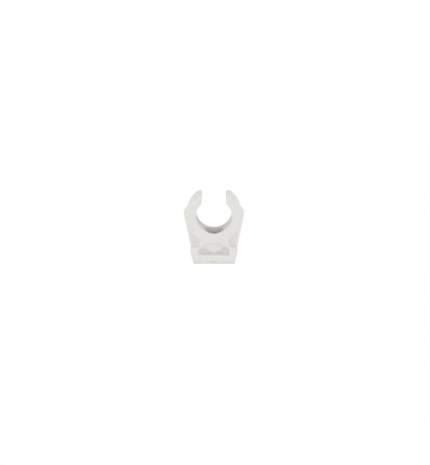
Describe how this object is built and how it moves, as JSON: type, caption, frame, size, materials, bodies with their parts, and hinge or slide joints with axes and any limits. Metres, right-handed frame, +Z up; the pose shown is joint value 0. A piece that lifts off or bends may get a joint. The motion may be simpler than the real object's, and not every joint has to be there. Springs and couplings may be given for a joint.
{
  "type": "pipe clip",
  "caption": "Open snap-in pipe clip: a C-shaped ring with spring fingers on a hollow base, screwed down through the floor of the ring.",
  "frame": {"origin": "centre of the flat underside of the base", "axes": "+X across the clip, +Y along the pipe, +Z up from the base to the finger tips"},
  "size_m": [0.0336, 0.0122, 0.0391],
  "materials": {
    "white_plastic": "smooth satin moulding, off-white"
  },
  "bodies": {
    "root": {"pipe_clip": "white_plastic"}
  },
  "joints": []
}
